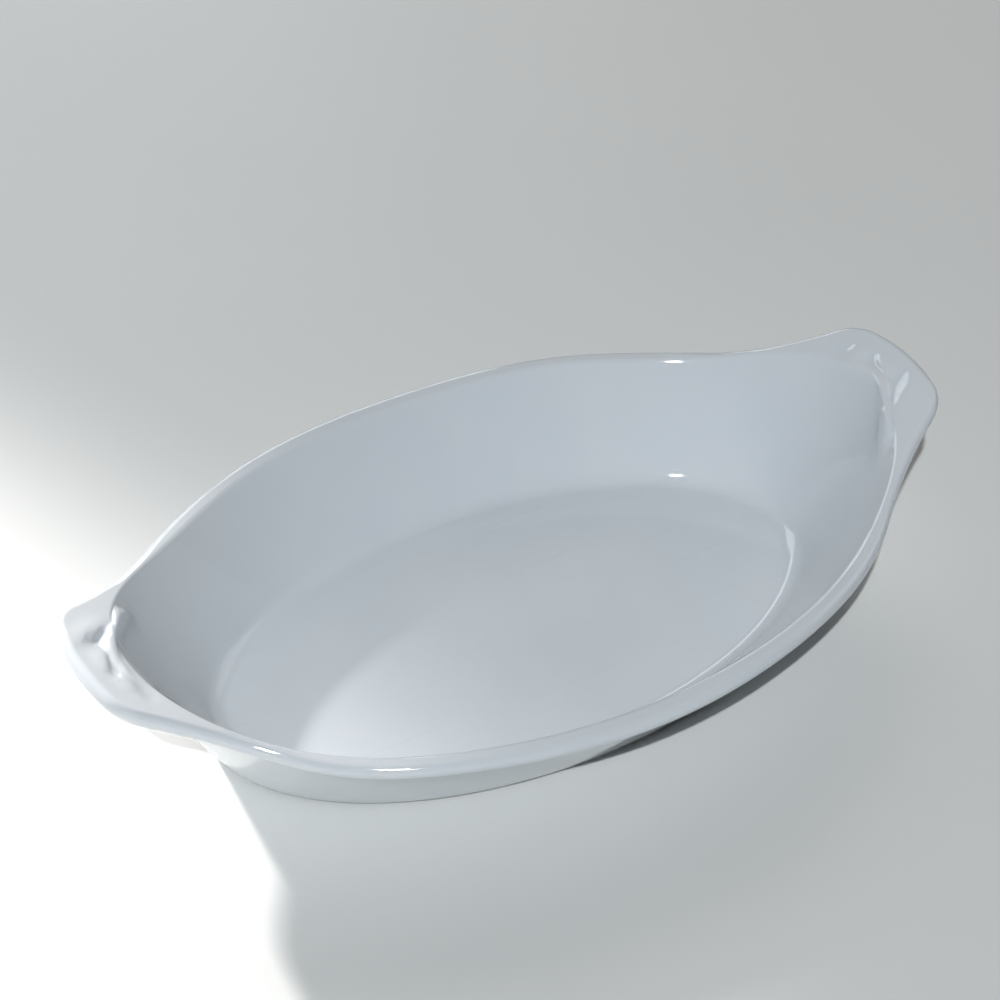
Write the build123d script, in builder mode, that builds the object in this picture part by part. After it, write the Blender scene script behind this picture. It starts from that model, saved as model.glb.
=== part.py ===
from build123d import *
from math import radians, degrees, sin, cos, hypot, atan2
import os

# An oval white porcelain gratin dish with a carrying ear at each end.
# Millimetres, +Z up. The origin is on the resting plane, under the middle of the dish.
# +X runs along the long axis, through the ears.

# Plan of the rim, seen from above
half_length = 130.0
side_half_width = 72.9
oval_half_length = 113.6
ear_tip_radius = 61.6
ear_tip_half_angle = 12.9
ear_corner_radius = 13.0
ear_root_radius = 126.0

# Height of the rim's top surface, from the middle of a side out to an ear's tip
side_height = 34.3
quarter_station, quarter_height = 55.0, 35.5
root_station, root_height = 93.0, 37.9
end_station, end_height = 109.3, 43.9
ear_station, ear_height = 120.0, 48.3
tip_height = 52.8
tip_rise_per_run = 0.465

# Thickness of the rim and of the ears, and the rounding of their edge
lip_thickness = 4.4
ear_thickness = 4.9
nose_radius = 2.05
mouth_radius = 1.9

# Outside of the wall
foot_half_length, foot_half_width = 93.0, 50.7
wall_lean_length, wall_lean_width = 0.57, 0.61
wall_under_lip = 3.4
heel_radius = 1.6

# Inside of the basin
floor_half_length, floor_half_width = 89.5, 47.4
floor_height = 4.8
basin_lean_length, basin_lean_width = 0.635, 0.675
floor_fillet = 7.5

# Foot ring, left bare of glaze
ring_height = 1.3
ring_inset = 2.0
ring_width = 4.0
ring_edge = 0.5
ring_root = 2.0

# The coat of glaze
glaze_thickness = 0.3

# Leaf relief on each ear. The stem runs round the end of the basin's mouth, and its tail drips over
# the edge; three veins leave it. Stations: x, y, depth of the bead's middle under the rim's surface.
stem_radius = 1.9
stem = (
    (104.9, -22.4, 4.5),
    (110.1, -16.1, 2.0),
    (114.4, -10.6, 1.1),
    (117.9, -3.0, 1.0),
    (117.3, 8.8, 2.4),
)
vein_radius = 2.0
first_vein = ((112.6, -14.4, 2.2), (118.2, -12.4, 1.3), (124.2, -6.9, 2.3))
second_vein = ((118.9, -4.0, 2.2), (120.9, 0.6, 1.5), (122.6, 5.6, 2.2))
third_vein = ((118.4, 4.8, 2.2), (119.2, 9.0, 1.5), (118.2, 13.4, 2.2))

# Hollows between the veins: start and end of each, its radius and its depth
first_hollow, first_hollow_radius, first_hollow_depth = ((116.1, -11.1), (121.8, -4.9)), 2.8, 1.0
second_hollow, second_hollow_radius, second_hollow_depth = ((119.8, -1.4), (122.4, 7.6)), 1.4, 0.8
third_hollow, third_hollow_radius, third_hollow_depth = ((115.1, 11.1), (116.7, 17.2)), 1.4, 0.5

# Size of the blocks that trim the clay, well clear of the dish
clear = 2 * half_length


def rim_curve(drop_side, drop_ear):
    """The line of the rim in the upright plane, lowered by the given drops."""
    near = drop_side
    far = drop_ear
    between = (near + far) / 2
    right = [
        (quarter_station, quarter_height - near),
        (root_station, root_height - near),
        (end_station, end_height - between),
        (ear_station, ear_height - far),
        (half_length, tip_height - far),
    ]
    left = [(-x, z) for x, z in reversed(right)]
    return Spline(
        *left, (0, side_height - near), *right, tangents=[(1, -tip_rise_per_run), (1, tip_rise_per_run)]
    )


def rim_height(x):
    """Height of the rim's top surface at the station x."""
    low, high = 0.0, 1.0
    for _ in range(40):
        middle = (low + high) / 2
        if (top_line @ middle).X < x:
            low = middle
        else:
            high = middle
    return (top_line @ low).Z


def rim_plan(inset):
    """The outline of the rim and ears from above, drawn in by the inset all round."""
    long_radius = oval_half_length - inset
    short_radius = side_half_width - inset
    tip_radius = ear_tip_radius - inset
    corner_radius = ear_corner_radius - inset
    root_radius = ear_root_radius + inset
    lean = radians(ear_tip_half_angle)
    tip_x = half_length - ear_tip_radius
    corner_x = tip_x + (tip_radius - corner_radius) * cos(lean)
    corner_y = (tip_radius - corner_radius) * sin(lean)

    # The hollow arc at the ear's root touches both the oval and the ear's corner
    low, high = radians(5), radians(80)
    for _ in range(60):
        at = (low + high) / 2
        touch_x, touch_y = long_radius * cos(at), short_radius * sin(at)
        out_x, out_y = cos(at) / long_radius, sin(at) / short_radius
        reach = root_radius / hypot(out_x, out_y)
        root_x, root_y = touch_x + out_x * reach, touch_y + out_y * reach
        if hypot(root_x - corner_x, root_y - corner_y) < corner_radius + root_radius:
            low = at
        else:
            high = at
    leave = degrees(atan2(root_y - corner_y, root_x - corner_x))
    arrive = degrees(atan2(touch_y - root_y, touch_x - root_x)) % 360

    with BuildLine() as outline:
        tip = CenterArc((tip_x, 0), tip_radius, -ear_tip_half_angle, 2 * ear_tip_half_angle)
        corner = CenterArc((corner_x, corner_y), corner_radius, ear_tip_half_angle, leave - ear_tip_half_angle)
        root = CenterArc((root_x, root_y), root_radius, leave + 180, arrive - leave - 180)
        side = EllipticalCenterArc(
            (0, 0), long_radius, short_radius, degrees(at), arc_size=180 - 2 * degrees(at)
        )
        mirror(tip, about=Plane.YZ)
        mirror(side, about=Plane.XZ)
        for bend in (corner, root):
            across = mirror(bend, about=Plane.XZ)
            mirror(bend, about=Plane.YZ)
            mirror(across, about=Plane.YZ)
    return outline.line


def below_rim(drop_side, drop_ear):
    """Everything under the lowered rim surface."""
    with BuildPart() as block:
        with BuildSketch(Plane.XZ.offset(-clear)):
            with BuildLine():
                line = rim_curve(drop_side, drop_ear)
                Polyline(line @ 0, (-half_length, -clear), (half_length, -clear), line @ 1)
            make_face()
        extrude(amount=2 * clear)
    return block.part


def rim_sheet(inset):
    """Lip and ears in one sheet of clay with a round edge."""
    with BuildPart() as sheet:
        with BuildSketch():
            with BuildLine():
                add(rim_plan(inset))
            make_face()
        extrude(amount=clear)
        with BuildSketch(Plane.XZ.offset(-clear)):
            with BuildLine():
                top = rim_curve(inset, inset)
                under = rim_curve(lip_thickness - inset, ear_thickness - inset)
                Line(top @ 0, under @ 0)
                Line(top @ 1, under @ 1)
            make_face()
        extrude(amount=2 * clear, mode=Mode.INTERSECT)
        upper = sheet.faces().sort_by_distance((0, 0, clear))[0]
        lower = sheet.faces().sort_by_distance((0, 0, -clear))[0]
        fillet(upper.edges() + lower.edges(), nose_radius - inset)
    return sheet.part


def oval_cone(half_x, half_y, lean_x, lean_y, start, rounding):
    """A leaning oval solid that widens upwards, with a rounded lower edge."""
    rise = clear / 4
    with BuildPart() as cone:
        with BuildSketch(Plane.XY.offset(start)):
            Ellipse(half_x, half_y)
        with BuildSketch(Plane.XY.offset(start + rise)):
            Ellipse(half_x + lean_x * rise, half_y + lean_y * rise)
        loft(ruled=True)
        fillet(cone.edges().sort_by(Axis.Z)[0], rounding)
    return cone.part


def basin(inset):
    """The hollow of the dish."""
    spread = inset * hypot(1, basin_lean_width)
    sunk = floor_height - inset
    return oval_cone(
        floor_half_length + spread - basin_lean_length * inset,
        floor_half_width + spread - basin_lean_width * inset,
        basin_lean_length,
        basin_lean_width,
        sunk,
        floor_fillet + inset,
    )


def wall(inset):
    """The wall and bottom as a full block, up to the underside of the lip."""
    spread = inset * hypot(1, wall_lean_width)
    base = ring_height + inset
    with BuildPart() as block:
        add(
            oval_cone(
                foot_half_length + wall_lean_length * base - spread,
                foot_half_width + wall_lean_width * base - spread,
                wall_lean_length,
                wall_lean_width,
                base,
                heel_radius - inset,
            )
        )
        add(below_rim(wall_under_lip, wall_under_lip), mode=Mode.INTERSECT)
    return block.part


def surface_point(x, y, lift):
    """A point over the ear's top surface, lifted square off it."""
    step = 0.01 * half_length
    slope = (rim_height(x + step) - rim_height(x - step)) / (2 * step)
    size = hypot(1, slope)
    return x - lift * slope / size, y, rim_height(x) + lift / size


def bead(stations, radius, inset):
    """A raised bead that comes up out of the ear and sinks back into it."""
    points = [surface_point(x, y, -depth) for x, y, depth in stations]
    with BuildPart() as strip:
        with BuildLine():
            if len(points) == 3:
                way = ThreePointArc(*points)
            else:
                way = Spline(*points)
        with BuildSketch(Plane(way @ 0, z_dir=way % 0)):
            Circle(radius - inset)
        sweep()
    return strip.part


def hollow(ends, radius, depth, inset):
    """A drop-shaped hollow, shallow at the stem and deep at its round outer end."""
    start = Vector(*surface_point(*ends[0], radius))
    end = Vector(*surface_point(*ends[1], radius - depth))
    with BuildPart() as drop:
        with BuildSketch(Plane(start, z_dir=end - start)):
            Circle(radius + inset)
        extrude(amount=(end - start).length)
        with Locations(end):
            Sphere(radius + inset)
    return drop.part


def dish_form(inset):
    """The dish without its foot ring, drawn in by the inset on every face."""
    turned = Rotation(0, 0, 180)
    with BuildPart() as form:
        add(wall(inset))
        add(rim_sheet(inset))
        add(basin(inset), mode=Mode.SUBTRACT)
        upper = form.faces().sort_by_distance((0, side_half_width - lip_thickness / 2, clear))[0]
        fillet(upper.inner_wires()[0].edges(), mouth_radius - inset)
        raised = [
            bead(stem, stem_radius, inset),
            bead(first_vein, vein_radius, inset),
            bead(second_vein, vein_radius, inset),
            bead(third_vein, vein_radius, inset),
        ]
        add(raised + [turned * strip for strip in raised])
        sunk = [
            hollow(first_hollow, first_hollow_radius, first_hollow_depth, inset),
            hollow(second_hollow, second_hollow_radius, second_hollow_depth, inset),
            hollow(third_hollow, third_hollow_radius, third_hollow_depth, inset),
        ]
        add(sunk + [turned * drop for drop in sunk], mode=Mode.SUBTRACT)
    return form.part


with BuildLine(Plane.XZ) as rim_top:
    top_line = rim_curve(0, 0)

os.makedirs("parts", exist_ok=True)

# Bare foot ring, thrown in one with the body
with BuildPart() as foot_ring:
    with BuildSketch():
        Ellipse(foot_half_length - ring_inset, foot_half_width - ring_inset)
        Ellipse(
            foot_half_length - ring_inset - ring_width,
            foot_half_width - ring_inset - ring_width,
            mode=Mode.SUBTRACT,
        )
    extrude(amount=ring_height + ring_root)
    fillet(foot_ring.faces().sort_by(Axis.Z)[0].edges(), ring_edge)

# Fired body: floor, wall, lip, ears and foot ring in one piece of clay
with BuildPart() as porcelain_body:
    add(dish_form(glaze_thickness))
    add(foot_ring.part)
porcelain_body.part.label = "porcelain_body"
export_step(porcelain_body.part, "parts/porcelain_body.step")

# Glaze, melted on to the whole body but for the foot ring
with BuildPart() as coat:
    add(dish_form(0))
    add(porcelain_body.part, mode=Mode.SUBTRACT)
patches = coat.solids().sort_by(SortBy.VOLUME)

# Glaze over the inside, the rim, the ears and the outside of the wall
with BuildPart() as glaze_coat:
    add(patches[-1])
glaze_coat.part.label = "glaze_coat"
export_step(glaze_coat.part, "parts/glaze_coat.step")

# Glaze on the underside, fenced in by the bare foot ring
with BuildPart() as underside_glaze:
    add(patches[0])
underside_glaze.part.label = "underside_glaze"
export_step(underside_glaze.part, "parts/underside_glaze.step")
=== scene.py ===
from math import cos, pi, radians, sin

import bmesh
import bpy
import numpy as np
from mathutils import Matrix, Vector
from mathutils.bvhtree import BVHTree


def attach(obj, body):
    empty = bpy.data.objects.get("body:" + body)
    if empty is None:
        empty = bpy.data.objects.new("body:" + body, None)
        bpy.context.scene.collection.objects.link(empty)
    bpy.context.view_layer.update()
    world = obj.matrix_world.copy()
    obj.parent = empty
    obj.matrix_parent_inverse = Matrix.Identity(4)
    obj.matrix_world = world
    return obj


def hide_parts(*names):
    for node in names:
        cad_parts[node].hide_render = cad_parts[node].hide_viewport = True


# An oval white porcelain gratin dish, seen from above and to its left front.
# The shapes are worked out in millimetres and made in metres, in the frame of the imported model:
# +X runs along the dish through its ears, +Z is up, and the table is at 0.

MM = 0.001
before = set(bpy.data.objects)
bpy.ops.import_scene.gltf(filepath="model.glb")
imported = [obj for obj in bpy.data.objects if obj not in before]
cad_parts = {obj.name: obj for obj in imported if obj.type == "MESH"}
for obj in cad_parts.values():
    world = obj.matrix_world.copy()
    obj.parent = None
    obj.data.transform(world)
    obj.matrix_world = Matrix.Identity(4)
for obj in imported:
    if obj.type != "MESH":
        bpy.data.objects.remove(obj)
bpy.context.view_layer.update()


def linear(hex_colour):
    """An sRGB hex colour as linear red, green, blue and alpha."""
    parts = [int(hex_colour[i : i + 2], 16) / 255 for i in (1, 3, 5)]
    return [*(p / 12.92 if p <= 0.04045 else ((p + 0.055) / 1.055) ** 2.4 for p in parts), 1.0]


# ---------------------------------------------------------------------------------------------
# Camera
# ---------------------------------------------------------------------------------------------

CAMERA_TURN = radians(-33.16)
CAMERA_HEIGHT = radians(40.86)
CAMERA_ROLL = radians(2.87)
CAMERA_DISTANCE = 743.26 * MM
CAMERA_AIM = Vector((25.93 * MM, 51.16 * MM, 0))
LENS, SENSOR_WIDTH = 90.46, 36
NEAREST_SEEN = 0.01

back = Vector(
    (
        sin(CAMERA_TURN) * cos(CAMERA_HEIGHT),
        -cos(CAMERA_TURN) * cos(CAMERA_HEIGHT),
        sin(CAMERA_HEIGHT),
    )
)
level = Vector((cos(CAMERA_TURN), sin(CAMERA_TURN), 0))
upright = back.cross(level)
right = cos(CAMERA_ROLL) * level + sin(CAMERA_ROLL) * upright
up = -sin(CAMERA_ROLL) * level + cos(CAMERA_ROLL) * upright
camera_data = bpy.data.cameras.new("camera")
camera_data.lens = LENS
camera_data.sensor_width = SENSOR_WIDTH
camera_data.clip_start = NEAREST_SEEN
camera = bpy.data.objects.new("camera", camera_data)
camera.matrix_world = Matrix.Translation(CAMERA_AIM + CAMERA_DISTANCE * back) @ Matrix(
    (right, up, back)
).transposed().to_4x4()
bpy.context.scene.collection.objects.link(camera)
bpy.context.scene.camera = camera

# ---------------------------------------------------------------------------------------------
# Shape of the glaze, in millimetres. It lies on the fired body as a thin skin, rounder and softer
# than the clay: the ears' relief is melted, and every corner has flowed.
# ---------------------------------------------------------------------------------------------

# Plan of the rim and ears
HALF_LENGTH = 130.0
OVAL = (113.6, 72.9)
EAR_TIP_RADIUS = 61.6
EAR_TIP_HALF_ANGLE = radians(12.9)
EAR_CORNER_RADIUS = 13.0
EAR_ROOT_RADIUS = 126.0

# Height of the rim from the middle of a side to an ear's tip, and its thickness at each station
RIM_STATIONS = (
    *((0.0, 34.3), (55.0, 35.5), (93.0, 37.9)),
    *((109.3, 43.9), (120.0, 48.3), (130.0, 52.8)),
)
RIM_THICKNESS = (4.4, 4.4, 4.4, 4.65, 4.9, 4.9)
TIP_RISE_PER_RUN = 0.465
NOSE_RADIUS = 2.05
MOUTH_RADIUS = 1.9
LIP_FLAT = 0.9  # the most of the lip's width that its two roundings take up

# Basin and outer wall: an oval that widens by its lean for every millimetre of height
FLOOR, FLOOR_HEIGHT, BASIN_LEAN, FLOOR_FILLET = (89.5, 47.4), 4.8, (0.635, 0.675), 7.5
FOOT, WALL_LEAN, HEEL_RADIUS = (93.0, 50.7), (0.57, 0.61), 1.6
UNDER_RIM_REACH, LIP_CORNER = 20.0, 2.4
RING_HEIGHT, RING_OUTSIDE = 1.3, (91.0, 48.7)

# The glaze lies this thick on the body, no thinner than the second value over the relief while it
# melts, and no thinner than the third on its crests
GLAZE_THICKNESS = 0.3
THINNEST_GLAZE = 0.15
CREST_GLAZE = THINNEST_GLAZE / 3

# How many times the glaze is smoothed: as it melts over the relief, as it flows into the corner
# under the lip, and as it levels out and pools, which sets the grey tint that is also painted shade
MELTING, CORNER_FLOW, LEVELLING = 4, 12, 60
POOL_AND_SHADE_DEPTH = 0.9

# The columns of the mesh in half a quadrant, in degrees from, to and apart. They stand closest over
# the relief on the ears. Angles that agree to this many digits are one column.
COLUMN_RUNS = ((0, 14, 0.25), (14, 32, 0.5), (32, 90, 1.0))
COLUMN_DIGITS = 9

# The rings of the mesh along the dish's section, from the middle of the floor over the rim and down
# to the foot ring. The wall's rings stand closer from this share of its slope upwards.
MIDDLE_SHARE, CLOSER_FROM = 0.02, 0.6
FLOOR_RINGS, FLOOR_ROUND_RINGS, LOW_WALL_RINGS, HIGH_WALL_RINGS = 6, 10, 6, 14
MOUTH_RINGS, RIM_RINGS, NOSE_RINGS, UNDER_RIM_RINGS = 8, 28, 7, 17
CORNER_RINGS, OUTER_WALL_RINGS, HEEL_RINGS = 6, 8, 4

# How finely the places are found where two curves meet
ROOT_SEARCH, ROOT_HALVINGS = (radians(5), radians(80)), 60
ARC_POINTS, OVAL_POINTS = 200, 400
MOUTH_ROUNDS, UNDERSIDE_STEPS = 30, 100


def smooth_line(points, start=None, end=None, steps=60):
    """A smooth curve through the points, as close-set points. The ends may be given a direction."""
    points = np.array(points, float)
    chord = np.linalg.norm(np.diff(points, axis=0), axis=1)
    last = len(points) - 1
    system, known = np.zeros((last + 1, last + 1)), np.zeros_like(points)
    run = np.diff(points, axis=0) / chord[:, None]
    for i in range(1, last):
        system[i, i - 1 : i + 2] = chord[i], 2 * (chord[i - 1] + chord[i]), chord[i - 1]
        known[i] = 3 * (chord[i] * run[i - 1] + chord[i - 1] * run[i])
    for i, neighbour, direction, way in ((0, 1, start, run[0]), (last, last - 1, end, run[-1])):
        system[i, i], system[i, neighbour] = (2, 1) if direction is None else (1, 0)
        known[i] = 3 * way if direction is None else np.array(direction) / np.linalg.norm(direction)
    slope = np.linalg.solve(system, known)
    f = np.linspace(0, 1, steps, endpoint=False)[:, None]
    spans = [
        (1 + 2 * f) * (1 - f) ** 2 * points[i]
        + f**2 * (3 - 2 * f) * points[i + 1]
        + chord[i] * f * (1 - f) ** 2 * slope[i]
        - chord[i] * f**2 * (1 - f) * slope[i + 1]
        for i in range(last)
    ]
    return np.concatenate([*spans, points[-1:]])


def rim_line(drops):
    """Height over x of the rim's surface, lowered at each station by a drop."""
    right = [(x, z - drop) for (x, z), drop in zip(RIM_STATIONS, drops)]
    left = [(-x, z) for x, z in right[:0:-1]]
    line = smooth_line(left + right, (1, -TIP_RISE_PER_RUN), (1, TIP_RISE_PER_RUN))
    return lambda x: np.interp(x, line[:, 0], line[:, 1])


def oval_ring(half, t, z):
    """An oval ring at the angles t and the height z."""
    return np.stack([half[0] * np.cos(t), half[1] * np.sin(t), np.broadcast_to(z, t.shape)], axis=1)


def widened(half, lean, height):
    """The half sizes of a leaning oval, a height above its foot."""
    return half[0] + lean[0] * height, half[1] + lean[1] * height


def rim_outline(angles):
    """The rim's outline from above, where it crosses each angle from the middle of the dish."""
    tip_x = HALF_LENGTH - EAR_TIP_RADIUS
    corner_reach = EAR_TIP_RADIUS - EAR_CORNER_RADIUS
    corner = np.array([cos(EAR_TIP_HALF_ANGLE), sin(EAR_TIP_HALF_ANGLE)]) * corner_reach
    corner[0] += tip_x
    low, high = ROOT_SEARCH
    for _ in range(ROOT_HALVINGS):
        # the hollow arc at the ear's root touches both the oval and the ear's corner
        at = (low + high) / 2
        touch = np.array(OVAL) * (cos(at), sin(at))
        out = np.array([cos(at), sin(at)]) / OVAL
        root = touch + out / np.linalg.norm(out) * EAR_ROOT_RADIUS
        too_near = np.linalg.norm(root - corner) < EAR_CORNER_RADIUS + EAR_ROOT_RADIUS
        low, high = (at, high) if too_near else (low, at)
    leave = np.arctan2(*(root - corner)[::-1])
    arrive = np.arctan2(*(touch - root)[::-1])
    arrive += 2 * pi * (arrive < leave)
    arcs = []
    for centre, radius, begin, finish in (
        ((tip_x, 0), EAR_TIP_RADIUS, 0, EAR_TIP_HALF_ANGLE),
        (corner, EAR_CORNER_RADIUS, EAR_TIP_HALF_ANGLE, leave),
        (root, EAR_ROOT_RADIUS, leave + pi, arrive),
    ):
        turn = np.linspace(begin, finish, ARC_POINTS)
        arcs.append(np.array(centre) + radius * np.stack([np.cos(turn), np.sin(turn)], axis=1))
    turn = np.linspace(at, pi / 2, OVAL_POINTS)
    arcs.append(np.stack([OVAL[0] * np.cos(turn), OVAL[1] * np.sin(turn)], axis=1))
    quarter = np.concatenate(arcs)
    reach = np.hypot(quarter[:, 0], quarter[:, 1])
    folded = np.arccos(np.abs(np.cos(angles)))
    reach = np.interp(folded, np.arctan2(quarter[:, 1], quarter[:, 0]), reach)
    return np.stack([reach * np.cos(angles), reach * np.sin(angles)], axis=1)


def unit(vectors):
    """The vectors at length one."""
    return vectors / np.linalg.norm(vectors, axis=-1, keepdims=True)


def straight(start, end, count):
    """Rings between two rings, without the two."""
    return [start + (end - start) * f for f in np.linspace(0, 1, count + 1)[1:-1]]


def rounded(before, corner, after, radius, count):
    """Rings that round a corner by an arc that touches the runs to its neighbours."""
    to_before, to_after = unit(before - corner), unit(after - corner)
    half_turn = (pi - np.arccos(np.clip((to_before * to_after).sum(axis=1), -1, 1))) / 2
    reach = (radius * np.tan(half_turn))[:, None]
    start, end = corner + to_before * reach, corner + to_after * reach
    pull = np.cos(half_turn)[:, None]
    rings = []
    for f in np.linspace(0, 1, count + 1):
        near, middle, far = (1 - f) ** 2, 2 * f * (1 - f) * pull, f**2
        rings.append((near * start + middle * corner + far * end) / (near + middle + far))
    return rings


rim_top = rim_line([0.0] * len(RIM_STATIONS))
rim_under = rim_line(RIM_THICKNESS)
quadrant = np.radians(np.concatenate([np.arange(*run) for run in COLUMN_RUNS]))
all_round = [quadrant, pi - quadrant, pi + quadrant, 2 * pi - quadrant, [pi / 2, 3 * pi / 2]]
angles = np.unique(np.round(np.concatenate(all_round) % (2 * pi), COLUMN_DIGITS))
columns = np.arange(len(angles))

# Mouth of the basin, where its leaning wall meets the rim's surface
mouth_height = np.full(angles.shape, RIM_STATIONS[0][1])
for _ in range(MOUTH_ROUNDS):
    half = widened(FLOOR, BASIN_LEAN, mouth_height - FLOOR_HEIGHT)
    basin_turn = np.arctan2(half[0] * np.sin(angles), half[1] * np.cos(angles))
    mouth_height = rim_top(half[0] * np.cos(basin_turn))
mouth = oval_ring(half, basin_turn, mouth_height)
floor_edge = oval_ring(FLOOR, basin_turn, FLOOR_HEIGHT)
away = unit(np.stack([np.cos(basin_turn) / half[0], np.sin(basin_turn) / half[1]], axis=1))

# Outline of the rim, and the way inwards from it
outline = rim_outline(angles)
along = unit(np.roll(outline, -1, axis=0) - np.roll(outline, 1, axis=0))
inward = np.stack([-along[:, 1], along[:, 0]], axis=1)
nose_top = np.column_stack([outline, rim_top(outline[:, 0])])
nose_under = np.column_stack([outline, rim_under(outline[:, 0])])


def beside(ring, way, surface):
    """Points a little way off a ring, on a surface of the rim."""
    plan = ring[:, :2] + way
    return np.column_stack([plan, surface(plan[:, 0])])


# Floor, mouth and rim. Where the lip is narrow, both its roundings shrink to leave a flat between.
floor_round = rounded(floor_edge * (0, 0, 1), floor_edge, mouth, FLOOR_FILLET, FLOOR_ROUND_RINGS)
mouth_side, nose_side = beside(mouth, away, rim_top), beside(nose_top, inward, rim_top)
mouth_round = rounded(floor_edge, mouth, mouth_side, MOUTH_RADIUS, MOUTH_RINGS)
nose_upper = rounded(nose_side, nose_top, nose_under, NOSE_RADIUS, NOSE_RINGS)
mouth_taken = np.linalg.norm(mouth_round[-1] - mouth, axis=1)
nose_taken = np.linalg.norm(nose_upper[0] - nose_top, axis=1)
lip_width = ((outline - mouth[:, :2]) * away).sum(axis=1)
room = np.minimum(1, LIP_FLAT * lip_width / (mouth_taken + nose_taken))
mouth_round = rounded(floor_edge, mouth, mouth_side, MOUTH_RADIUS * room, MOUTH_RINGS)
nose_upper = rounded(nose_side, nose_top, nose_under, NOSE_RADIUS * room, NOSE_RINGS)
underside_in = beside(nose_under, inward, rim_under)
nose_lower = rounded(nose_top, nose_under, underside_in, NOSE_RADIUS, NOSE_RINGS)
across_rim = straight(mouth_round[-1], nose_upper[0], RIM_RINGS)
for ring in across_rim:
    ring[:, 2] = rim_top(ring[:, 0])

# Under the rim: down the nose and in along the underside, until the outer wall meets it
reach_in = nose_lower[-1].copy()
reach_in[:, :2] -= unit(outline) * UNDER_RIM_REACH
underside = straight(nose_lower[-1], reach_in, UNDERSIDE_STEPS)
for ring in underside:
    ring[:, 2] = rim_under(ring[:, 0])
under_rim = np.array([*nose_lower, *underside])
half = widened(FOOT, WALL_LEAN, under_rim[:, :, 2])
outside = np.hypot(under_rim[:, :, 0] / half[0], under_rim[:, :, 1] / half[1]) - 1
last_out = np.argmax(outside < 0, axis=0) - 1
before, after = outside[last_out, columns], outside[last_out + 1, columns]
meets_wall = last_out + before / (before - after)


def station(ring_chain, at):
    """The points at fractional ring numbers, one for each column."""
    low = np.minimum(at.astype(int), len(ring_chain) - 2)
    part = (at - low)[:, None]
    return ring_chain[low, columns] * (1 - part) + ring_chain[low + 1, columns] * part


under_rings = [station(under_rim, meets_wall * f) for f in np.linspace(0, 1, UNDER_RIM_RINGS)]
under_lip = under_rings[-1]

# Outer wall, down to the bare foot ring
half = widened(FOOT, WALL_LEAN, under_lip[:, 2])
wall_turn = np.arctan2(under_lip[:, 1] / half[1], under_lip[:, 0] / half[0])
heel = oval_ring(widened(FOOT, WALL_LEAN, RING_HEIGHT), wall_turn, RING_HEIGHT)
ring_root = oval_ring(RING_OUTSIDE, wall_turn, RING_HEIGHT)
heel_round = rounded(under_lip, heel, ring_root, HEEL_RADIUS, HEEL_RINGS)
below_lip = under_lip + unit(heel - under_lip) * LIP_CORNER

middle = floor_round[0] * (MIDDLE_SHARE, MIDDLE_SHARE, 1)
up_the_wall = floor_round[-1] + (mouth_round[0] - floor_round[-1]) * CLOSER_FROM
down_to_lip = [
    middle,
    *straight(middle, floor_round[0], FLOOR_RINGS),
    *floor_round,
    *straight(floor_round[-1], up_the_wall, LOW_WALL_RINGS),
    up_the_wall,
    *straight(up_the_wall, mouth_round[0], HIGH_WALL_RINGS),
    *mouth_round,
    *across_rim,
    *nose_upper,
    *under_rings,
]
down_to_foot = [
    *straight(under_lip, below_lip, CORNER_RINGS),
    below_lip,
    *straight(below_lip, heel_round[0], OUTER_WALL_RINGS),
    *heel_round,
    ring_root,
]
skin = np.array(down_to_lip + down_to_foot)
corner = len(down_to_lip) - 1
for _ in range(CORNER_FLOW):
    # the glaze pools in the corner between the rim and the wall
    pool = skin[corner - CORNER_RINGS : corner + CORNER_RINGS + 1]
    pool[1:-1] = (pool[:-2] + 2 * pool[1:-1] + pool[2:]) / 4

# Leaf relief on the ears, in plan on the ear at +X; the other ear has it after half a turn.
# Each ridge: its line, height, and reach towards the ear's tip and towards the basin.
STEM = (
    *((104.6, -23.2), (107.3, -17.6), (110.9, -14.5), (114.3, -10.6)),
    *((116.7, -6.7), (118.1, -2.7), (118.4, 2.6), (117.7, 8.6)),
)
RIDGES = (
    (STEM, 1.0, 1.5, 1.2),
    (((113.2, -14.6), (119.3, -11.7), (125.4, -6.4)), 0.65, 3.4, 1.4),
    (((120.2, -3.0), (121.2, 0.3), (123.2, 5.6)), 0.6, 3.2, 1.3),
    (((120.0, 6.0), (119.6, 9.6), (118.9, 13.6)), 0.5, 3.0, 1.3),
)
# Each hollow: its line, depth and width
HOLLOWS = (
    (((115.6, -11.6), (118.6, -8.3), (121.9, -5.2)), 0.8, 1.9),
    (((119.4, -0.9), (119.9, 2.9), (121.7, 7.7)), 0.6, 1.2),
    (((115.4, 10.8), (115.9, 14.2), (116.7, 17.0)), 0.4, 1.3),
)
RELIEF_LINE_STEPS = 12
TAPER_ENDS, TAPER_POWER = (0.02, 0.98), 0.5  # a ridge sinks away towards the ends of its line
RELIEF_STARTS = 96.0  # nothing is raised nearer the middle of the dish than this
FACING_UP = 0.2  # nor where the surface faces up less than this


def swell(plan, line, reach_out, reach_in):
    """How far up a ridge each plan point stands, from 0 at its foot to 1 on its crest."""
    line = smooth_line(line, steps=RELIEF_LINE_STEPS)
    gap = plan[:, None] - line[None]
    nearest = np.argmin((gap**2).sum(axis=2), axis=1)
    gap = gap[np.arange(len(plan)), nearest]
    way = unit(np.gradient(line, axis=0))[nearest]
    side = gap[:, 0] * way[:, 1] - gap[:, 1] * way[:, 0]
    reach = np.where(side > 0, reach_out, reach_in)
    taper = np.sin(pi * np.clip(nearest / (len(line) - 1), *TAPER_ENDS)) ** TAPER_POWER
    return np.exp(-(gap**2).sum(axis=1) / reach**2) * taper


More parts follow.
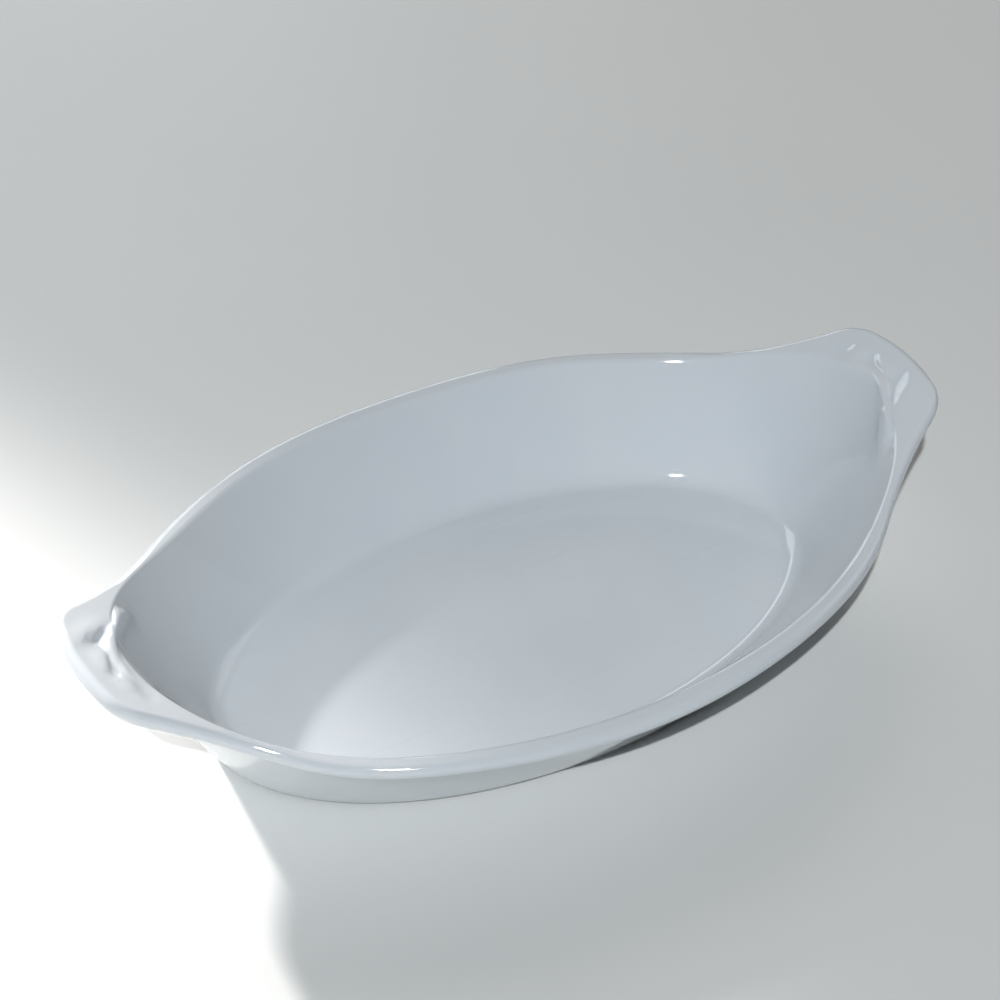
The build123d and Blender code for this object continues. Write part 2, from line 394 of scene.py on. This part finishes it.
def relief(plan):
    """Rise of the relief over an ear's plain surface."""
    rise = np.zeros(len(plan))
    for line, height, reach_out, reach_in in RIDGES:
        rise = np.maximum(rise, height * swell(plan, line, reach_out, reach_in))
    for line, depth, width in HOLLOWS:
        rise -= depth * swell(plan, line, width, width)
    return rise


def neighbour_mean(field):
    """The mean of each point's four neighbours in the mesh."""
    rows = np.pad(field, ((1, 1), (0, 0)), mode="edge")
    return (rows[:-2] + rows[2:] + np.roll(field, 1, axis=1) + np.roll(field, -1, axis=1)) / 4


round_the_dish = np.roll(skin, -1, axis=1) - np.roll(skin, 1, axis=1)
normal = unit(np.cross(np.gradient(skin, axis=0), round_the_dish))
on_ears = (normal[:, :, 2] > FACING_UP) & (np.abs(skin[:, :, 0]) > RELIEF_STARTS)
lift = np.zeros(skin.shape[:2])
for half_turn in (1, -1):
    ear = on_ears & (skin[:, :, 0] * half_turn > 0)
    lift[ear] = relief(skin[ear][:, :2] * half_turn)

# The glaze covers the fired body everywhere, and melts what stands out of it. The body's height
# over the plain surface is felt for with rays from outside.
RAY_START = 8.0
body = BVHTree.FromObject(
    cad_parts["porcelain_body"], bpy.context.evaluated_depsgraph_get()
)
cover = np.full(lift.shape, -RAY_START)
for i, j in zip(*np.nonzero(on_ears)):
    hit = body.ray_cast(Vector(skin[i, j] + normal[i, j] * RAY_START) * MM, Vector(-normal[i, j]))
    if hit[0] is not None:
        cover[i, j] = RAY_START - hit[3] / MM
for axis in (0, 1):
    cover = np.maximum(cover, np.maximum(np.roll(cover, 1, axis), np.roll(cover, -1, axis)))
over_body = cover > -RAY_START
for _ in range(MELTING):
    lift = np.maximum(lift, cover + THINNEST_GLAZE)
    lift = np.where(over_body, (lift + neighbour_mean(lift)) / 2, lift)
lift = np.maximum(lift, cover + CREST_GLAZE)

# Molten glaze draws off the crests and pools in the hollows: 1 where it is deepest, 0 where
# thinnest, and 0.5 where the surface is even. The same share greys the hollows: partly the real
# bluer tone of thick glaze, partly painted shade.
level = lift
for _ in range(LEVELLING):
    level = neighbour_mean(level)
pool_and_shade = np.clip(0.5 + (level - lift) / POOL_AND_SHADE_DEPTH, 0, 1)
skin = skin + normal * lift[:, :, None]

mesh = bpy.data.meshes.new("melted_glaze")
form = bmesh.new()
pool_and_shade_layer = form.verts.layers.float.new("pooled_glaze_and_shade")
rows = [[form.verts.new(Vector(point) * MM) for point in ring] for ring in skin]
for row, depths in zip(rows, pool_and_shade):
    for vert, depth in zip(row, depths):
        vert[pool_and_shade_layer] = depth
for inner, outer in zip(rows, rows[1:]):
    for i in columns:
        beyond = (i + 1) % len(angles)
        form.faces.new((inner[i], outer[i], outer[beyond], inner[beyond]))
form.faces.new(rows[0])
bmesh.ops.recalc_face_normals(form, faces=form.faces)
form.to_mesh(mesh)
form.free()
mesh.shade_smooth()
glaze_piece = bpy.data.objects.new("melted_glaze", mesh)
bpy.context.scene.collection.objects.link(glaze_piece)
shell = glaze_piece.modifiers.new("glaze thickness", "SOLIDIFY")
shell.thickness = GLAZE_THICKNESS * MM
shell.offset = -1
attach(glaze_piece, "root")
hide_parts("glaze_coat")

# ---------------------------------------------------------------------------------------------
# Materials
# ---------------------------------------------------------------------------------------------

# Numbers of the colour mix node's sockets, whose names repeat
SHARE, FIRST, SECOND, MIXED = 0, 6, 7, 2


def new_material(name):
    """An empty node material with its shader."""
    material = bpy.data.materials.new(name)
    material.use_nodes = True
    return material, material.node_tree.nodes["Principled BSDF"]


def node(owner, kind, settings=(), values=(), links=()):
    """Adds a node to a material or the world, with its settings, values and links."""
    made = owner.node_tree.nodes.new(kind)
    for name, value in dict(settings).items():
        setattr(made, name, value)
    for name, value in dict(values).items():
        made.inputs[name].default_value = value
    for name, source in dict(links).items():
        owner.node_tree.links.new(source, made.inputs[name])
    return made


def per_metre(size_mm):
    """The scale of a pattern whose cells are this many millimetres across."""
    return 1 / (size_mm * MM)


# Hard porcelain under a clear glaze, fired to about 1400 C. The body is cool white and the glaze
# over it is a smooth glass, so it shines with small sharp lights. It ripples a little where it ran,
# has the fine orange peel of sprayed glaze, and looks bluer and greyer where it lies thick in the
# hollows; that grey is partly real and partly painted shade in the relief's hollows.
GLAZE_WHITE, GLAZE_CLOUD, GLAZE_POOL_AND_SHADE = "#dce1e5", "#d8dee3", "#c3cdd5"
GLAZE_IOR = 1.52
CLOUD_MM, CLOUD_SPREAD = 38, (0.35, 0.65)
EVEN_GLAZE, DEEPEST_GLAZE, POOL_AND_SHADE_STRENGTH = 0.5, 1.0, 0.35
glaze, shader = new_material("glazed_hard_porcelain")
shader.inputs["IOR"].default_value = GLAZE_IOR
place = node(glaze, "ShaderNodeTexCoord").outputs["Object"]
cloud = node(
    glaze,
    "ShaderNodeTexNoise",
    values={"Scale": per_metre(CLOUD_MM), "Detail": 3.0},
    links={"Vector": place},
)
cloud_share = node(
    glaze,
    "ShaderNodeMapRange",
    values={"From Min": CLOUD_SPREAD[0], "From Max": CLOUD_SPREAD[1]},
    links={"Value": cloud.outputs["Fac"]},
)
white = node(
    glaze,
    "ShaderNodeMix",
    {"data_type": "RGBA"},
    {FIRST: linear(GLAZE_WHITE), SECOND: linear(GLAZE_CLOUD)},
    {SHARE: cloud_share.outputs["Result"]},
)
# Bluish grey in the relief's hollows: partly the real tone of thick glaze, partly painted shade
depth = node(glaze, "ShaderNodeAttribute", {"attribute_name": "pooled_glaze_and_shade"})
pool_and_shade_share = node(
    glaze,
    "ShaderNodeMapRange",
    values={"From Min": EVEN_GLAZE, "From Max": DEEPEST_GLAZE, "To Max": POOL_AND_SHADE_STRENGTH},
    links={"Value": depth.outputs["Fac"]},
)
pool_and_shade_tint = node(
    glaze,
    "ShaderNodeMix",
    {"data_type": "RGBA"},
    {SECOND: linear(GLAZE_POOL_AND_SHADE)},
    {SHARE: pool_and_shade_share.outputs["Result"], FIRST: white.outputs[MIXED]},
)

# Knives and spoons leave faint grey marks on the floor of the basin, slightly across its length.
# Real ones are about 0.1 mm wide; these are drawn 0.9 mm wide so that they show.
MARK_LENGTH_MM, MARK_WIDTH_MM, MARK_TURN = 45, 0.9, radians(12)
MARK_GREY, MARK_STRENGTH, MARK_SPREAD = "#b4babf", 0.12, (0.62, 0.74)
MARKS_FADE = (2.5, 0.5)  # none above the first height over the floor, all below the second
mark_place = node(
    glaze,
    "ShaderNodeMapping",
    values={
        "Rotation": (0, 0, MARK_TURN),
        "Scale": (per_metre(MARK_LENGTH_MM), per_metre(MARK_WIDTH_MM), per_metre(MARK_LENGTH_MM)),
    },
    links={"Vector": place},
)
mark_pattern = node(
    glaze,
    "ShaderNodeTexNoise",
    values={"Scale": 1.0, "Detail": 2.0, "Distortion": 0.15},
    links={"Vector": mark_place.outputs["Vector"]},
)
marks = node(
    glaze,
    "ShaderNodeMapRange",
    values={"From Min": MARK_SPREAD[0], "From Max": MARK_SPREAD[1]},
    links={"Value": mark_pattern.outputs["Fac"]},
)
height = node(glaze, "ShaderNodeSeparateXYZ", links={"Vector": place}).outputs["Z"]
on_floor = node(
    glaze,
    "ShaderNodeMapRange",
    values={
        "From Min": (FLOOR_HEIGHT + MARKS_FADE[0]) * MM,
        "From Max": (FLOOR_HEIGHT + MARKS_FADE[1]) * MM,
    },
    links={"Value": height},
)
floor_marks = node(
    glaze,
    "ShaderNodeMath",
    {"operation": "MULTIPLY"},
    links={0: marks.outputs["Result"], 1: on_floor.outputs["Result"]},
).outputs["Value"]
mark_share = node(
    glaze, "ShaderNodeMath", {"operation": "MULTIPLY"}, {1: MARK_STRENGTH}, {0: floor_marks}
).outputs["Value"]
marked = node(
    glaze,
    "ShaderNodeMix",
    {"data_type": "RGBA"},
    {SECOND: linear(MARK_GREY)},
    {SHARE: mark_share, FIRST: pool_and_shade_tint.outputs[MIXED]},
)
glaze.node_tree.links.new(marked.outputs[MIXED], shader.inputs["Base Color"])

# The gloss: glassy, a little duller in patches and along the marks
SHINE_PATCH_MM, SHINE_SPREAD = 14, (0.3, 0.7)
GLAZE_ROUGHNESS, MARK_DULLNESS = (0.03, 0.07), 0.04
shine_pattern = node(
    glaze,
    "ShaderNodeTexNoise",
    values={"Scale": per_metre(SHINE_PATCH_MM), "Detail": 4.0},
    links={"Vector": place},
)
shine = node(
    glaze,
    "ShaderNodeMapRange",
    values={
        "From Min": SHINE_SPREAD[0],
        "From Max": SHINE_SPREAD[1],
        "To Min": GLAZE_ROUGHNESS[0],
        "To Max": GLAZE_ROUGHNESS[1],
    },
    links={"Value": shine_pattern.outputs["Fac"]},
)
dulled = node(
    glaze,
    "ShaderNodeMath",
    {"operation": "MULTIPLY_ADD"},
    {1: MARK_DULLNESS},
    {0: floor_marks, 2: shine.outputs["Result"]},
)
glaze.node_tree.links.new(dulled.outputs["Value"], shader.inputs["Roughness"])

# Its surface: slow ripples 26 mm apart and 0.05 mm high, under an orange peel 1.6 mm across. The
# peel of a real glaze is some 0.001 mm high; it is drawn 0.0035 mm high so that it breaks the edges
# of the lights.
RIPPLE_MM, RIPPLE_HEIGHT = 26, 0.05
PEEL_MM, PEEL_HEIGHT = 1.6, 0.0035
ripple = node(
    glaze,
    "ShaderNodeTexNoise",
    values={"Scale": per_metre(RIPPLE_MM), "Detail": 1.0},
    links={"Vector": place},
)
ripple_bump = node(
    glaze,
    "ShaderNodeBump",
    values={"Strength": 1.0, "Distance": RIPPLE_HEIGHT * MM},
    links={"Height": ripple.outputs["Fac"]},
)
peel = node(
    glaze,
    "ShaderNodeTexNoise",
    values={"Scale": per_metre(PEEL_MM), "Detail": 1.0},
    links={"Vector": place},
)
peel_bump = node(
    glaze,
    "ShaderNodeBump",
    values={"Strength": 1.0, "Distance": PEEL_HEIGHT * MM},
    links={"Height": peel.outputs["Fac"], "Normal": ripple_bump.outputs["Normal"]},
)
glaze.node_tree.links.new(peel_bump.outputs["Normal"], shader.inputs["Normal"])

# Bare fired porcelain, which shows on the foot ring: the glaze was wiped off before the firing. It
# is warmer than the glazed white, matt and finely grained, and the ring is rubbed grey where it
# stands. The real grain is near 0.05 mm; it is drawn 0.5 mm across so that it shows.
BISQUE_WHITE, BISQUE_SHADE, RUB_GREY = "#ddd8cd", "#cfc8bb", "#a9a59d"
BISQUE_IOR, BISQUE_ROUGHNESS = 1.5, (0.68, 0.88)
GRAIN_MM, GRAIN_HEIGHT, STAIN_MM = 0.5, 0.02, 18
RUB_MM, RUB_SPREAD, RUB_REACH = 5, (0.45, 0.75), 0.35
bisque, shader = new_material("bare_fired_porcelain")
shader.inputs["IOR"].default_value = BISQUE_IOR
place = node(bisque, "ShaderNodeTexCoord").outputs["Object"]
stain = node(
    bisque,
    "ShaderNodeTexNoise",
    values={"Scale": per_metre(STAIN_MM), "Detail": 5.0},
    links={"Vector": place},
)
stained = node(
    bisque,
    "ShaderNodeMix",
    {"data_type": "RGBA"},
    {FIRST: linear(BISQUE_WHITE), SECOND: linear(BISQUE_SHADE)},
    {SHARE: stain.outputs["Fac"]},
)
rub_pattern = node(
    bisque,
    "ShaderNodeTexNoise",
    values={"Scale": per_metre(RUB_MM), "Detail": 6.0},
    links={"Vector": place},
)
rub_patches = node(
    bisque,
    "ShaderNodeMapRange",
    values={"From Min": RUB_SPREAD[0], "From Max": RUB_SPREAD[1]},
    links={"Value": rub_pattern.outputs["Fac"]},
)
height = node(bisque, "ShaderNodeSeparateXYZ", links={"Vector": place}).outputs["Z"]
at_table = node(
    bisque,
    "ShaderNodeMapRange",
    values={"From Min": RUB_REACH * MM, "From Max": 0.0},
    links={"Value": height},
)
rubbed = node(
    bisque,
    "ShaderNodeMath",
    {"operation": "MULTIPLY"},
    links={0: rub_patches.outputs["Result"], 1: at_table.outputs["Result"]},
)
bare = node(
    bisque,
    "ShaderNodeMix",
    {"data_type": "RGBA"},
    {SECOND: linear(RUB_GREY)},
    {SHARE: rubbed.outputs["Value"], FIRST: stained.outputs[MIXED]},
)
bisque.node_tree.links.new(bare.outputs[MIXED], shader.inputs["Base Color"])
matt = node(
    bisque,
    "ShaderNodeMapRange",
    values={"To Min": BISQUE_ROUGHNESS[0], "To Max": BISQUE_ROUGHNESS[1]},
    links={"Value": stain.outputs["Fac"]},
)
bisque.node_tree.links.new(matt.outputs["Result"], shader.inputs["Roughness"])
grain = node(
    bisque,
    "ShaderNodeTexNoise",
    values={"Scale": per_metre(GRAIN_MM), "Detail": 3.0},
    links={"Vector": place},
)
grain_bump = node(
    bisque,
    "ShaderNodeBump",
    values={"Strength": 1.0, "Distance": GRAIN_HEIGHT * MM},
    links={"Height": grain.outputs["Fac"]},
)
bisque.node_tree.links.new(grain_bump.outputs["Normal"], shader.inputs["Normal"])

# Table top of matt lacquered board, sprayed: pale grey, even, with a fine pebbled grain that only
# breaks the light a little
TABLE_PALE, TABLE_SHADE = "#e5e6e4", "#dfe0de"
TABLE_CLOUD_MM, PEBBLE_MM, PEBBLE_HEIGHT = 180, 1.4, 0.012
TABLE_ROUGHNESS = (0.5, 0.62)
table, shader = new_material("matt_lacquered_board")
place = node(table, "ShaderNodeTexCoord").outputs["Object"]
table_cloud = node(
    table,
    "ShaderNodeTexNoise",
    values={"Scale": per_metre(TABLE_CLOUD_MM), "Detail": 4.0},
    links={"Vector": place},
)
board = node(
    table,
    "ShaderNodeMix",
    {"data_type": "RGBA"},
    {FIRST: linear(TABLE_PALE), SECOND: linear(TABLE_SHADE)},
    {SHARE: table_cloud.outputs["Fac"]},
)
table.node_tree.links.new(board.outputs[MIXED], shader.inputs["Base Color"])
pebble = node(
    table,
    "ShaderNodeTexNoise",
    values={"Scale": per_metre(PEBBLE_MM), "Detail": 2.0},
    links={"Vector": place},
)
satin = node(
    table,
    "ShaderNodeMapRange",
    values={"To Min": TABLE_ROUGHNESS[0], "To Max": TABLE_ROUGHNESS[1]},
    links={"Value": pebble.outputs["Fac"]},
)
table.node_tree.links.new(satin.outputs["Result"], shader.inputs["Roughness"])
pebble_bump = node(
    table,
    "ShaderNodeBump",
    values={"Strength": 1.0, "Distance": PEBBLE_HEIGHT * MM},
    links={"Height": pebble.outputs["Fac"]},
)
table.node_tree.links.new(pebble_bump.outputs["Normal"], shader.inputs["Normal"])

mesh.materials.append(glaze)
for name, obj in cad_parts.items():
    obj.data.materials.clear()
    obj.data.materials.append(bisque if name == "porcelain_body" else glaze)
    obj.data.shade_smooth()

# ---------------------------------------------------------------------------------------------
# Table and lights. Places and sizes are in metres and powers in watts.
# ---------------------------------------------------------------------------------------------

TABLE_SIZE = 6.0
bpy.ops.mesh.primitive_plane_add(size=TABLE_SIZE, location=(0, 0, 0))
floor = bpy.context.object
floor.name = "floor"
floor.data.materials.append(table)

DISH_MIDDLE = Vector((0.02, 0.02, 0.02))


def put_light(name, kind, place, way, power, colour):
    """A light at a place, shining the given way."""
    data = bpy.data.lights.new(name, kind)
    data.energy = power
    data.color = linear(colour)[:3]
    light = bpy.data.objects.new(name, data)
    light.location = place
    light.rotation_mode = "QUATERNION"
    light.rotation_quaternion = way.to_track_quat("-Z", "Y")
    bpy.context.scene.collection.objects.link(light)
    return light


def area_light(name, place, size, power, colour):
    """A soft rectangular light at a place, turned to the middle of the dish."""
    light = put_light(name, "AREA", place, DISH_MIDDLE - Vector(place), power, colour)
    light.data.shape = "RECTANGLE"
    light.data.size, light.data.size_y = size
    return light


# The main light stands above the camera's left shoulder and draws the thin dark line under the rim
KEY_DISTANCE, KEY_LEFT, KEY_ABOVE = 2.6, 0.065, 0.155
KEY_SIZE, KEY_POWER, KEY_COLOUR = (0.05, 0.035), 45, "#f6fbff"
key_way = (back - KEY_LEFT * right + KEY_ABOVE * up).normalized()
key = area_light("key", DISH_MIDDLE + KEY_DISTANCE * key_way, KEY_SIZE, KEY_POWER, KEY_COLOUR)
key.visible_glossy = False

# A small lamp by the lens gives the sharp lights in the glaze
LAMP_RIGHT, LAMP_ABOVE = 0.05, 0.095
LAMP_SIZE, LAMP_POWER, LAMP_COLOUR = (0.045, 0.03), 2.4, "#ffffff"
eye = camera.matrix_world.translation
lamp_place = eye + LAMP_RIGHT * right + LAMP_ABOVE * up
small_lamp = area_light("small_lamp", lamp_place, LAMP_SIZE, LAMP_POWER, LAMP_COLOUR)
small_lamp.visible_diffuse = False

# A window behind the dish. Its two panes are seen in the glaze, and light nothing else.
PANE_GLARE, PANE_COLOUR = 9.5, "#f2f8ff"  # watts to a square metre
for name, place, size in (
    ("tall_pane", (-0.125, 1.5, 0.68), (0.75, 1.15)),
    ("low_pane", (0.5, 1.5, 0.55), (0.5, 0.9)),
):
    pane = area_light(name, place, size, PANE_GLARE * size[0] * size[1], PANE_COLOUR)
    pane.visible_diffuse = False

# Daylight of the window and the room, not seen in the glaze, and last the room's image, only seen
# there: each with its place, size, power, colour, and whether it is seen in the glaze
for name, place, size, power, colour, in_glaze in (
    ("window", (-0.03, 1.5, 0.58), (1.5, 0.95), 2.0, "#f4f8ff", False),
    ("fill", (0.9, 1.25, 1.1), (0.8, 0.8), 7.2, "#fffaf2", False),
    ("room_image", (1.4, 0.2, 0.95), (0.9, 0.9), 2.5, "#f4f8ff", True),
):
    daylight = area_light(name, place, size, power, colour)
    daylight.visible_glossy = in_glaze
    daylight.visible_diffuse = not in_glaze

# The beam that falls through the window onto the table, past the left of the dish
BEAM_AIM, BEAM_LENGTH = Vector((-0.221, 0.03, 0)), 1.3
BEAM_TURN, BEAM_HEIGHT = radians(98), radians(31)
BEAM_POWER, BEAM_COLOUR = 140, "#fffaf7"
BEAM_SPREAD, BEAM_EDGE, BEAM_SOFTNESS = radians(16.6), 1, 0.04
beam_way = Vector(
    (
        cos(BEAM_TURN) * cos(BEAM_HEIGHT),
        sin(BEAM_TURN) * cos(BEAM_HEIGHT),
        sin(BEAM_HEIGHT),
    )
)
beam_place = BEAM_AIM + BEAM_LENGTH * beam_way
beam = put_light("window_beam", "SPOT", beam_place, -beam_way, BEAM_POWER, BEAM_COLOUR)
beam.data.spot_size = BEAM_SPREAD
beam.data.spot_blend = BEAM_EDGE
beam.data.shadow_soft_size = BEAM_SOFTNESS

# The room lights the dish only faintly; behind the table it is seen as a plain pale backdrop
ROOM_COLOUR, ROOM_STRENGTH = "#d4dae0", 0.045
BACKDROP_COLOUR, BACKDROP_STRENGTH = "#dddcd5", 0.35
world = bpy.data.worlds.new("studio")
world.use_nodes = True
room_light = world.node_tree.nodes["Background"]
room_light.inputs["Color"].default_value = linear(ROOM_COLOUR)
room_light.inputs["Strength"].default_value = ROOM_STRENGTH
backdrop = node(
    world,
    "ShaderNodeBackground",
    values={"Color": linear(BACKDROP_COLOUR), "Strength": BACKDROP_STRENGTH},
)
seen = node(world, "ShaderNodeLightPath").outputs["Is Camera Ray"]
both = node(
    world,
    "ShaderNodeMixShader",
    links={0: seen, 1: room_light.outputs["Background"], 2: backdrop.outputs["Background"]},
)
surface = world.node_tree.nodes["World Output"].inputs["Surface"]
world.node_tree.links.new(both.outputs["Shader"], surface)
bpy.context.scene.world = world
bpy.context.scene.view_settings.view_transform = "Standard"
